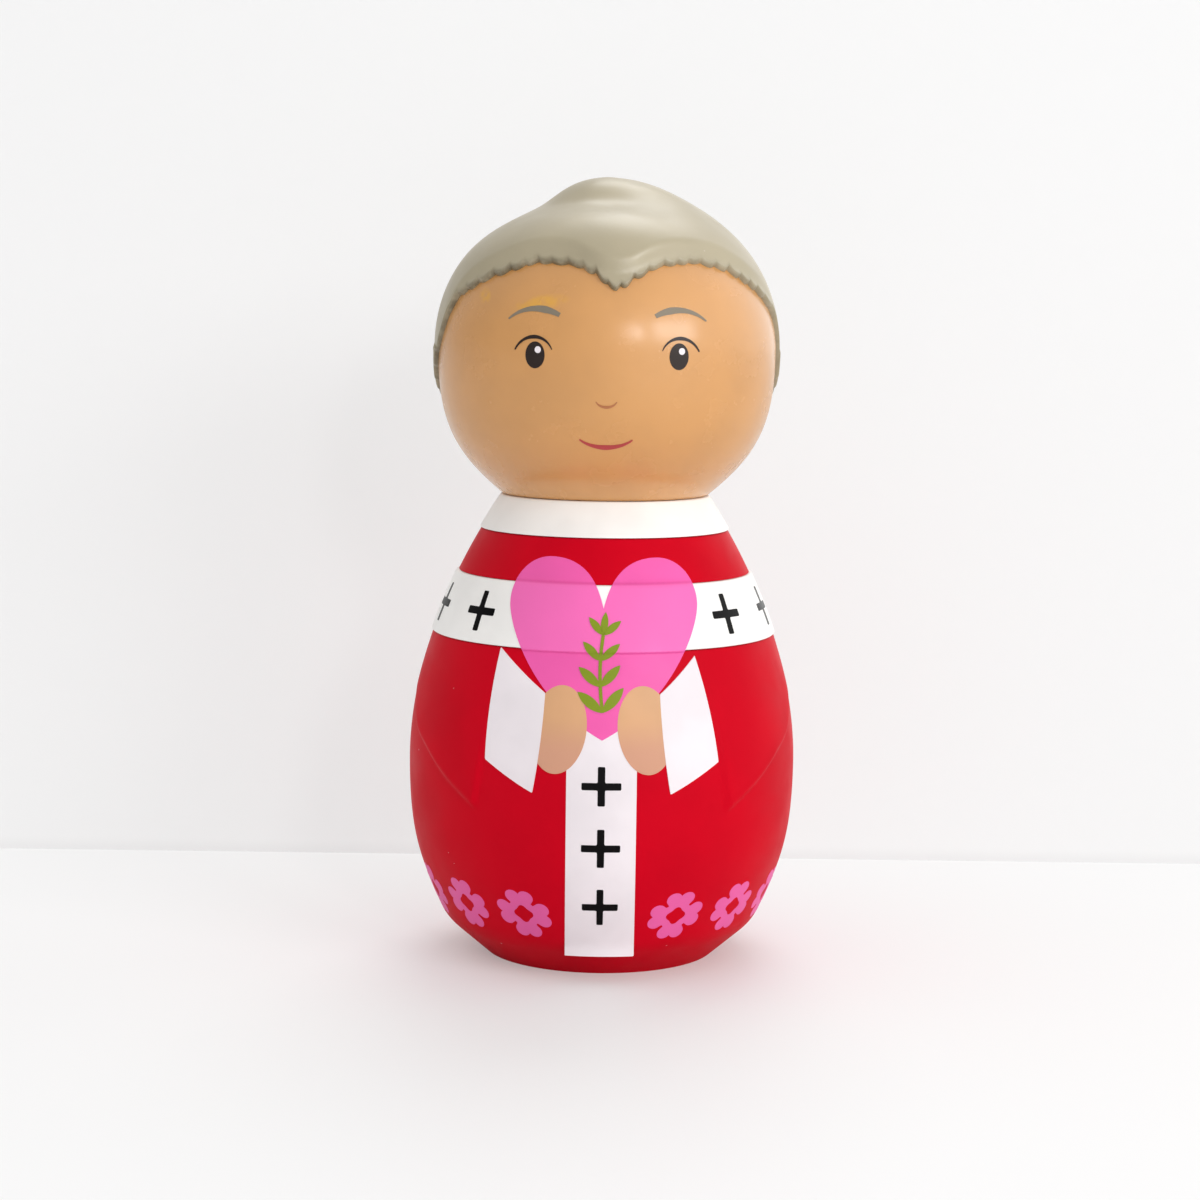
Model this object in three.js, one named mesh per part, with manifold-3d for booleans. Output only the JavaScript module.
// A small saint doll in rotocast soft vinyl: a hollow robe, a head that turns on a plug at the neck,
// moulded hair, and a collar and a stole band that drop over the shoulders into seats of their own.
// Millimetres, +Z up. The doll faces -Y, and the origin is the centre of its foot.

import * as THREE from 'three';
import { mergeVertices } from 'three/addons/utils/BufferGeometryUtils.js';
import Module from 'manifold-3d';

const wasm = await Module();
wasm.setup();

// Fits between pieces
const SEAT_GAP = 0.3; // beside a piece that is bonded or pressed home
const TURN_GAP = 0.35; // beside the turning head

// Robe
const ROBE_WALL = 2.4;
const FOOT_RADIUS = 20;
const HEEL_RADIUS = 27.1; // where the side meets the slope that runs under to the foot
const HEEL_HEIGHT = 6.2;
const HEEL_ROUND = 2; // how far either way from there the turn is rounded
const HEEL_FLARE = 4.2; // sideways reach of the curve that leaves the heel
const HEEL_RISE = 9.6; // upward reach of the same curve
const BELLY_RADIUS = 33.3;
const BELLY_HEIGHT = 33.6;
const BELLY_REACH_DOWN = 14; // how long the side stays upright below the belly
const BELLY_REACH_UP = 9.6; // and above it
const ROBE_TOP_RADIUS = 17.5;
const SEAM_HEIGHT = 79.2; // where the head meets the collar
const SHOULDER_REACH = 12.9; // sideways reach of the shoulder's curve at the neck
const SHOULDER_DROP = 19.4; // downward reach of the same curve

// Sleeves, moulded on the robe in low relief: angle from the front, and share of the way from the belly to
// the band
const SLEEVE_RISE = 0.55; // how far the lower fold stands off the robe
const SLEEVE_SINK = 1.2; // how deep a sleeve is rooted in the robe's wall
// The fold runs from the tip to the back, and the top from the cuff to the back
const SLEEVE_FOLD = [[38.5, -0.19], [50, -0.014], [62, 0.162], [80, 0.378], [100, 0.613]];
const SLEEVE_TOP = [[33.5, 0.63], [100, 0.856]];
const SLEEVE_FADE = [66, 95]; // the angles between which a sleeve dies into the robe

// Stole band round the chest
const BAND_DROP = 13.1; // from the seam down to the band
const BAND_WIDTH = 10.3;
const BAND_THICKNESS = 1.2;
const BAND_PROUD = 0.4;

// Collar
const COLLAR_WIDTH = 5.75;
const COLLAR_THICKNESS = 1.8;
const COLLAR_PROUD = 0.4;
const EDGE_ROUND = 0.3; // rounded outer edges of the band and the collar

// Neck joint
const SOCKET_DEPTH = 2.5; // how far the head's neck stands inside the collar
const PLUG_STEM_RADIUS = 8.3;
const PLUG_BORE_RADIUS = 5.5;
const PLUG_FLANGE_RADIUS = 11.5;
const PLUG_FLANGE_THICKNESS = 1.6;
const PLUG_BARB_RADIUS = 10.6;
const PLUG_BARB_HEIGHT = 4;
const PLUG_NOSE_RADIUS = 7.6; // the barb's narrow end, which goes in first

// Foot and base stopper
const FOOT_RING_INNER = 14;
const BASE_RECESS = 1.6;
const STOPPER_STEM_RADIUS = 9;
const STOPPER_FLANGE_RADIUS = 12.6;
const STOPPER_FLANGE_THICKNESS = 1;
const STOPPER_LIP_RADIUS = 10.4;
const STOPPER_LIP_HEIGHT = 2.4;
const STOPPER_WALL = 1.6;

// Head
const HEAD_WALL = 2.6;
const HEAD_RADIUS = 28.8;
const HEAD_RISE = 24.8; // from the seam up to the widest level
const SKULL_RISE = 24.2; // from there to the top of the skull
const JAW_REACH = 12.5; // how long the cheek stays upright below the widest level
const CHIN_REACH = 8.5; // sideways reach of the chin's curve at the neck
const CHIN_DROP = 7; // upward reach of the same curve
const NECK_REVEAL = 0.25; // how far the neck keeps inside the collar's edge
const HEAD_LIP = 2;

// Hair
const HAIR_SINK = 0.9; // how deep the hair is let into the head
const HAIR_SIDE = 0.85; // how far it stands off the sides of the head
const HAIR_CROWN = 4.8; // and off the crown
const HAIR_RIM = 0.95; // the most it stands off along the hairline
const RIM_REACH = 3.4; // how far in from the hairline it grows to its full thickness
const RIM_CALM = 15; // degrees over which the hairline is evened out for that
const SCALLOP_COUNT = 36;
const SCALLOP_DEPTH = 0.85;
const ROLL_RISE = 0.3; // the swept-back roll over the forehead
const ROLL_HEIGHT = 15.5; // above the head's widest level
const ROLL_REACH_DOWN = 4;
const ROLL_REACH_UP = 2.2;
// The hairline right round from the nape: angle from the front, and height above the head's widest level
const HAIRLINE = [
  [-180, -16.3], [-122, -14.6], [-90, -5], [-74, 1.2], [-66, 8.4], [-50, 12.4], [-30, 15], [-13, 14.5],
  [-4, 13.4], [0, 11], [3, 10.4], [5.8, 11], [9, 12.4], [20, 14.4], [38, 15.5], [54, 14.3], [70, 10.5],
  [86, 4], [91, -4.4], [122, -14.6], [180, -16.3]];
// The groove round the crest: angle from the front, depth, distance from the crown, and reach towards the
// crest and away from it
const GROOVE = [
  [-180, 0.4, 12, 6, 7], [-90, 2.65, 12, 5.8, 10.6], [0, 2.5, 10.6, 4.2, 6.2], [90, 0.9, 14, 8.2, 11.4],
  [180, 0.4, 12, 6, 7]];

// Facets
const ROBE_SIDES = 48;
const HEAD_SIDES = 48;
const HEAD_STEPS = 9;
const HOLLOW_STEPS = 4;
const PLUG_SIDES = 30;
const CURVE_STEPS = 7;
const SCALLOP_FACETS = 3;
const HAIR_ROWS = 10;
const SCALP_ROWS = 5;

const point = (radius, height) => new THREE.Vector2(radius, height);
const radians = THREE.MathUtils.degToRad;

// The robe's side, heel to belly and belly to seam, as radius against height.
const heelToBelly = new THREE.CubicBezierCurve(
  point(HEEL_RADIUS, HEEL_HEIGHT),
  point(HEEL_RADIUS + HEEL_FLARE, HEEL_HEIGHT + HEEL_RISE),
  point(BELLY_RADIUS, BELLY_HEIGHT - BELLY_REACH_DOWN),
  point(BELLY_RADIUS, BELLY_HEIGHT));
const bellyToSeam = new THREE.CubicBezierCurve(
  point(BELLY_RADIUS, BELLY_HEIGHT),
  point(BELLY_RADIUS, BELLY_HEIGHT + BELLY_REACH_UP),
  point(ROBE_TOP_RADIUS + SHOULDER_REACH, SEAM_HEIGHT - SHOULDER_DROP),
  point(ROBE_TOP_RADIUS, SEAM_HEIGHT));

// How far along a rising curve a height is reached, by halving.
function shareAtHeight(curve, height) {
  let low = 0;
  let high = 1;
  for (let i = 0; i < 40; i += 1) {
    const middle = (low + high) / 2;
    if (curve.getPoint(middle).y < height) low = middle;
    else high = middle;
  }
  return low;
}

function robeRadius(height) {
  const side = height < BELLY_HEIGHT ? heelToBelly : bellyToSeam;
  return side.getPoint(shareAtHeight(side, height)).x;
}

// Points along the robe between two heights, moved sideways by an offset.
function robeStretch(from, to, offset, steps) {
  const points = [];
  for (let i = 0; i <= steps; i += 1) {
    const height = from + (to - from) * i / steps;
    points.push(point(robeRadius(height) + offset, height));
  }
  return points;
}

// A closed geometry as a solid for joining and cutting, and back again.
function solidOf(geometry) {
  const bare = geometry.clone();
  bare.deleteAttribute('normal');
  bare.deleteAttribute('uv');
  const merged = mergeVertices(bare, 1e-4);
  return new wasm.Manifold(new wasm.Mesh({
    numProp: 3,
    vertProperties: merged.attributes.position.array,
    triVerts: new Uint32Array(merged.index.array),
  }));
}

function geometryOf(solid) {
  const mesh = solid.getMesh();
  return new THREE.BufferGeometry()
    .setAttribute('position', new THREE.BufferAttribute(mesh.vertProperties, 3))
    .setIndex(new THREE.BufferAttribute(mesh.triVerts, 1));
}

// A solid turned about +Z from a section, its outside first from the bottom up, closed on itself or on the
// axis.
function turned(section, sides) {
  const closed = section[0].x > 0 ? [...section, section[0].clone()] : section;
  return solidOf(new THREE.LatheGeometry(closed, sides).rotateX(Math.PI / 2));
}

// Seats shared by the pieces at the neck and the foot
const collarSink = COLLAR_THICKNESS - COLLAR_PROUD + SEAT_GAP;
const bandSink = BAND_THICKNESS - BAND_PROUD + SEAT_GAP;
const bandTop = SEAM_HEIGHT - BAND_DROP;
const bandBottom = bandTop - BAND_WIDTH;
const collarBottom = SEAM_HEIGHT - COLLAR_WIDTH;
const deckTop = SEAM_HEIGHT - SOCKET_DEPTH;
const deckUnder = deckTop - ROBE_WALL;
const lipUnder = deckTop + TURN_GAP;
const lipTop = lipUnder + HEAD_LIP;
const collarBore = ROBE_TOP_RADIUS + COLLAR_PROUD - COLLAR_THICKNESS;
const neckRadius = collarBore - TURN_GAP;
const floorTop = BASE_RECESS + ROBE_WALL;
const stopperHole = STOPPER_STEM_RADIUS + SEAT_GAP;

// Robe shell: foot ring, side with the band's and the collar's seats, neck deck, and the hollow inside.
function robeShell() {
  const foot = point(FOOT_RADIUS, 0);
  const heel = point(HEEL_RADIUS, HEEL_HEIGHT);
  const sideStart = HEEL_HEIGHT + HEEL_ROUND;
  const heelTurn = new THREE.QuadraticBezierCurve(
    heel.clone().lerp(foot, HEEL_ROUND / heel.distanceTo(foot)),
    heel,
    point(robeRadius(sideStart), sideStart));
  const seatBottom = bandBottom - SEAT_GAP;
  const seatTop = bandTop + SEAT_GAP;
  const shoulder = collarBottom - SEAT_GAP;
  const outside = [
    point(FOOT_RING_INNER, 0),
    foot,
    ...heelTurn.getPoints(3),
    ...robeStretch(sideStart, BELLY_HEIGHT, 0, CURVE_STEPS).slice(1),
    ...robeStretch(BELLY_HEIGHT, seatBottom, 0, CURVE_STEPS - 2).slice(1),
    ...robeStretch(seatBottom, seatTop, -bandSink, 3),
    ...robeStretch(seatTop, shoulder, 0, 2),
    ...robeStretch(shoulder, deckTop, -collarSink, 2),
    point(PLUG_STEM_RADIUS + SEAT_GAP, deckTop),
  ];
  const hollow = [
    point(PLUG_STEM_RADIUS + SEAT_GAP, deckUnder),
    ...robeStretch(deckUnder, shoulder - ROBE_WALL, -collarSink - ROBE_WALL, 1),
    ...robeStretch(shoulder - 2 * ROBE_WALL, BELLY_HEIGHT, -ROBE_WALL, HOLLOW_STEPS),
    ...robeStretch(BELLY_HEIGHT, HEEL_HEIGHT + ROBE_WALL / 2, -ROBE_WALL, HOLLOW_STEPS).slice(1),
    point(FOOT_RADIUS, floorTop),
    point(stopperHole, floorTop),
    point(stopperHole, BASE_RECESS),
    point(FOOT_RING_INNER, BASE_RECESS),
  ];
  const shell = turned([...outside, ...hollow], ROBE_SIDES);
  return geometryOf(shell.add(sleeve(-1)).add(sleeve(1)));
}

// A sleeve: a patch of the robe between its fold and its top, proud along the fold, sunk at the top and the
// back, and rooted in the wall.
function sleeve(side) {
  const columns = 14;
  const rows = 4;
  const line = (points) => new THREE.SplineCurve(points.map(([angle, height]) => point(angle, height)));
  const fold = line(SLEEVE_FOLD);
  const top = line(SLEEVE_TOP);
  const skin = (offsetAt) => (column, row) => {
    const share = column / columns;
    const climb = row / rows;
    const place = fold.getPoint(share).lerp(top.getPoint(share), climb);
    const turn = side * radians(place.x);
    const height = BELLY_HEIGHT + (bandBottom - BELLY_HEIGHT) * place.y;
    const reach = robeRadius(height) + offsetAt(place.x, climb);
    return [reach * Math.sin(turn), -reach * Math.cos(turn), height];
  };
  const outer = skin((angle, climb) => {
    const fade = 1 - THREE.MathUtils.smoothstep(angle, ...SLEEVE_FADE);
    return SLEEVE_RISE * ((1 - climb) * fade * 1.5 - 0.5);
  });
  const inner = skin(() => -SLEEVE_SINK);

  const positions = [];
  for (const at of [outer, inner]) {
    for (let row = 0; row <= rows; row += 1) {
      for (let column = 0; column <= columns; column += 1) positions.push(...at(column, row));
    }
  }
  const layer = (rows + 1) * (columns + 1);
  const index = (column, row, depth) => depth * layer + row * (columns + 1) + column;
  const faces = [];
  const quad = (a, b, c, d) => faces.push(...(side > 0 ? [a, b, c, a, c, d] : [a, c, b, a, d, c]));
  const wall = (from, to) => quad(index(...from, 0), index(...from, 1), index(...to, 1), index(...to, 0));
  for (let row = 0; row < rows; row += 1) {
    for (let column = 0; column < columns; column += 1) {
      const corners = [[column, row], [column + 1, row], [column + 1, row + 1], [column, row + 1]];
      quad(...corners.map(([c, r]) => index(c, r, 0)));
      quad(...corners.reverse().map(([c, r]) => index(c, r, 1)));
    }
    wall([0, row + 1], [0, row]);
    wall([columns, row], [columns, row + 1]);
  }
  for (let column = 0; column < columns; column += 1) {
    wall([column, 0], [column + 1, 0]);
    wall([column + 1, rows], [column, rows]);
  }
  return solidOf(new THREE.BufferGeometry()
    .setAttribute('position', new THREE.Float32BufferAttribute(positions, 3))
    .setIndex(faces));
}

// A conical ring that follows the robe between two heights, proud of it, with its outer edges rounded.
function robeRing(bottom, top, proud, thickness, steps) {
  const outside = robeStretch(bottom + EDGE_ROUND, top - EDGE_ROUND, proud, steps);
  const inside = robeStretch(top, bottom, proud - thickness, steps);
  return geometryOf(turned([
    point(robeRadius(bottom) + proud - EDGE_ROUND, bottom),
    ...outside,
    point(robeRadius(top) + proud - EDGE_ROUND, top),
    ...inside,
  ], ROBE_SIDES));
}

const stoleBand = () => robeRing(bandBottom, bandTop, BAND_PROUD, BAND_THICKNESS, 3);

const collarRing = () => robeRing(collarBottom, SEAM_HEIGHT, COLLAR_PROUD, COLLAR_THICKNESS, 2);

// Neck plug: a hollow push-in spool. Its flange sits under the robe's deck, and its barb holds the head's
// lip.
function neckPlug() {
  const flangeTop = deckUnder - SEAT_GAP;
  const flangeUnder = flangeTop - PLUG_FLANGE_THICKNESS;
  const barbUnder = lipTop + TURN_GAP;
  const barbTop = barbUnder + PLUG_BARB_HEIGHT;
  return geometryOf(turned([
    point(PLUG_BORE_RADIUS, flangeUnder),
    point(PLUG_FLANGE_RADIUS, flangeUnder),
    point(PLUG_FLANGE_RADIUS, flangeTop),
    point(PLUG_STEM_RADIUS, flangeTop),
    point(PLUG_STEM_RADIUS, barbUnder),
    point(PLUG_BARB_RADIUS, barbUnder),
    point(PLUG_BARB_RADIUS, barbUnder + PLUG_BARB_HEIGHT / 4),
    point(PLUG_NOSE_RADIUS, barbTop),
    point(PLUG_BORE_RADIUS, barbTop),
  ], PLUG_SIDES));
}

// Base stopper: a cup-shaped plug pressed up into the hole in the floor, clear of what the doll stands on.
function baseStopper() {
  const flangeTop = BASE_RECESS - SEAT_GAP;
  const flangeUnder = flangeTop - STOPPER_FLANGE_THICKNESS;
  const lipStart = floorTop + SEAT_GAP;
  const lipEnd = lipStart + STOPPER_LIP_HEIGHT;
  const section = [
    point(0, flangeUnder),
    point(STOPPER_FLANGE_RADIUS, flangeUnder),
    point(STOPPER_FLANGE_RADIUS, flangeTop),
    point(STOPPER_STEM_RADIUS, flangeTop),
    point(STOPPER_STEM_RADIUS, lipStart),
    point(STOPPER_LIP_RADIUS, lipStart),
    point(STOPPER_STEM_RADIUS, lipEnd),
    point(STOPPER_STEM_RADIUS - STOPPER_WALL, lipEnd),
    point(STOPPER_STEM_RADIUS - STOPPER_WALL, flangeTop),
    point(0, flangeTop),
  ];
  return geometryOf(turned(section, PLUG_SIDES));
}

// The head's outline: a quarter ellipse over the skull, and a curve from the cheeks down to the neck.
const equator = SEAM_HEIGHT + HEAD_RISE;
const chinHeight = SEAM_HEIGHT + TURN_GAP;
const chinRadius = ROBE_TOP_RADIUS + COLLAR_PROUD - NECK_REVEAL;
const cheek = new THREE.CubicBezierCurve(
  point(chinRadius, chinHeight),
  point(chinRadius + CHIN_REACH, chinHeight + CHIN_DROP),
  point(HEAD_RADIUS, equator - JAW_REACH),
  point(HEAD_RADIUS, equator));

// A place on the skull or the cheek, with the outward direction there.
function skullAt(angle) {
  return {
    place: point(HEAD_RADIUS * Math.sin(angle), equator + SKULL_RISE * Math.cos(angle)),
    outward: point(Math.sin(angle) / HEAD_RADIUS, Math.cos(angle) / SKULL_RISE).normalize(),
  };
}

function cheekAt(share) {
  const along = cheek.getTangent(share);
  return { place: cheek.getPoint(share), outward: point(along.y, -along.x) };
}

// The whole outline from the chin to the crown, moved outwards by an offset.
function headOutline(offset, steps) {
  const places = [];
  for (let i = 0; i <= steps; i += 1) places.push(cheekAt(i / steps));
  for (let i = steps - 1; i > 0; i -= 1) places.push(skullAt(Math.PI / 2 * i / steps));
  const outline = places.map(({ place, outward }) => place.addScaledVector(outward, offset));
  return [...outline, point(0, equator + SKULL_RISE + offset)];
}

// Paths down the head from its crown: over the skull by angle, then straight down by height.
const skullPath = HEAD_RADIUS * Math.PI / 2;

function pathToHeight(height) {
  return height < equator
    ? skullPath + equator - height
    : HEAD_RADIUS * Math.acos(Math.min(1, (height - equator) / SKULL_RISE));
}

function headAtPath(path) {
  if (path <= skullPath) return skullAt(path / HEAD_RADIUS);
  return cheekAt(shareAtHeight(cheek, equator + skullPath - path));
}

// A table's row at an angle in degrees, between the two rows beside it.
function rowAt(table, angle, ease) {
  const next = Math.max(1, table.findIndex(([at]) => at >= angle));
  const [from, to] = [table[next - 1], table[next]];
  const share = ease(angle, from[0], to[0]);
  return from.map((value, i) => value + (to[i] - value) * share);
}

const straight = (value, low, high) => (value - low) / (high - low);

// The hair's columns right round, each with its path to the hairline, to that line evened out, and to the
// scalloped edge that is cut into it.
function hairColumns() {
  const count = SCALLOP_COUNT * SCALLOP_FACETS;
  const columns = Array.from({ length: count }, (_, i) => {
    const angle = 360 * i / count - 180;
    const turn = radians(angle);
    const line = pathToHeight(equator + rowAt(HAIRLINE, angle, straight)[1]);
    return { angle, turn, line, edge: line + SCALLOP_DEPTH * Math.abs(Math.sin(turn * SCALLOP_COUNT / 2)) };
  });
  const reach = Math.round(RIM_CALM * count / 360);
  const step = 2 * Math.PI * HEAD_RADIUS / count;
  columns.forEach((column, i) => {
    const around = (offset) => columns[(i + offset + count) % count];
    let sum = 0;
    for (let offset = -reach; offset <= reach; offset += 1) sum += around(offset).line;
    column.calm = sum / (2 * reach + 1);
    const climbs = [around(-1), around(1)].map(({ edge }) => Math.abs(edge - column.edge) / step);
    column.gapEdge = column.edge + SEAT_GAP * Math.hypot(1, ...climbs);
  });
  return columns;
}

// How far the groove round the crest lowers the hair at a distance from the head's axis.
function grooveDepth(angle, radius) {
  const [, depth, centre, within, beyond] = rowAt(GROOVE, angle, THREE.MathUtils.smoothstep);
  const share = (radius - centre) / (radius < centre ? within : beyond);
  return depth * Math.exp(-share * share);
}

function rollRise(turn, height) {
  const above = height - equator - ROLL_HEIGHT;
  const share = above / (above < 0 ? ROLL_REACH_DOWN : ROLL_REACH_UP);
  return ROLL_RISE * Math.max(0, Math.cos(turn)) * Math.exp(-share * share);
}

// How far the hair's outer face stands off the head: a cap that thickens to the crown, less the groove, and
// thinned along the hairline.
function hairOffset({ angle, turn, calm }, path) {
  const { place, outward } = headAtPath(path);
  const over = Math.min(path / HEAD_RADIUS, Math.PI / 2);
  const cap = HAIR_SIDE * Math.sin(over) * outward.x + HAIR_CROWN * Math.cos(over) * outward.y;
  const groove = path < skullPath ? grooveDepth(angle, place.x) : 0;
  const full = cap - groove + rollRise(turn, place.y);
  const inland = THREE.MathUtils.smoothstep(calm - path, 0, RIM_REACH);
  return Math.min(full, HAIR_RIM + (full - HAIR_RIM) * inland);
}

// A closed cap over the head between two skins, from the crown to an edge.
function headCap(edgeOf, outerAt, outerRows, innerOffset) {
  const columns = hairColumns();
  const positions = [];
  const faces = [];

  const vertex = (turn, path, offset) => {
    const { place, outward } = headAtPath(path);
    const reach = place.x + offset * outward.x;
    positions.push(reach * Math.sin(turn), -reach * Math.cos(turn), place.y + offset * outward.y);
    return positions.length / 3 - 1;
  };

  const skin = (rows, offsetAt) => {
    const grid = [[vertex(0, 0, offsetAt(columns[0], 0))]];
    for (let row = 1; row <= rows; row += 1) {
      grid.push(columns.map((column) => {
        const path = edgeOf(column) * row / rows;
        return vertex(column.turn, path, offsetAt(column, path));
      }));
    }
    return grid;
  };
  const outer = skin(outerRows, outerAt);
  const inner = skin(SCALP_ROWS, () => innerOffset);

  const joinRows = (upper, lower, flip) => {
    columns.forEach((_, i) => {
      const next = (i + 1) % columns.length;
      const above = upper.length === 1 ? [upper[0], upper[0]] : [upper[i], upper[next]];
      const triangles = [[above[0], lower[i], lower[next]]];
      if (upper.length > 1) triangles.push([above[0], lower[next], above[1]]);
      for (const [a, b, c] of triangles) faces.push(...(flip ? [a, c, b] : [a, b, c]));
    });
  };
  outer.slice(1).forEach((row, i) => joinRows(outer[i], row, false));
  inner.slice(1).forEach((row, i) => joinRows(inner[i], row, true));
  joinRows(outer.at(-1), inner.at(-1), false);

  return solidOf(new THREE.BufferGeometry()
    .setAttribute('position', new THREE.Float32BufferAttribute(positions, 3))
    .setIndex(faces));
}

// Hair cap: its inside follows the head, let in a little, and its outside has the crest, the groove and the
// roll.
const hairCap = () => geometryOf(headCap(({ edge }) => edge, hairOffset, HAIR_ROWS, -HAIR_SINK));

// Head shell: open at the neck, with an inward lip that the plug's barb holds, and a sunk seat for the
// hair.
function headShell() {
  const lipRadius = PLUG_STEM_RADIUS + TURN_GAP;
  const shell = turned([
    point(lipRadius, lipUnder),
    point(neckRadius, lipUnder),
    point(neckRadius, chinHeight),
    ...headOutline(0, HEAD_STEPS),
    ...headOutline(-HEAD_WALL, HOLLOW_STEPS).reverse(),
    point(neckRadius - HEAD_WALL, lipTop),
    point(lipRadius, lipTop),
  ], HEAD_SIDES);
  const seat = headCap(({ gapEdge }) => gapEdge, () => HAIR_CROWN, SCALP_ROWS, -HAIR_SINK - SEAT_GAP);
  return geometryOf(shell.subtract(seat));
}

// Finishes
const vinyl = (color, roughness) => new THREE.MeshStandardMaterial({ color, roughness, metalness: 0 });
const redVinyl = vinyl(0xc80c1e, 0.42);
const whiteVinyl = vinyl(0xf1efec, 0.45);
const skinVinyl = vinyl(0xd2a06c, 0.38);
const greyVinyl = vinyl(0xb0aa9a, 0.4);
const plugPlastic = vinyl(0xe6e2d8, 0.5);

function piece(name, geometry, material) {
  const mesh = new THREE.Mesh(geometry, material);
  mesh.name = name;
  return mesh;
}

const body = new THREE.Group();
body.add(
  piece('robe_shell', robeShell(), redVinyl),
  piece('stole_band', stoleBand(), whiteVinyl),
  piece('collar_ring', collarRing(), whiteVinyl),
  piece('neck_plug', neckPlug(), plugPlastic),
  piece('base_stopper', baseStopper(), redVinyl));

const head = new THREE.Group();
head.add(
  piece('head_shell', headShell(), skinVinyl),
  piece('hair_cap', hairCap(), greyVinyl));

const doll = new THREE.Group();
doll.add(body, head);

export default doll;
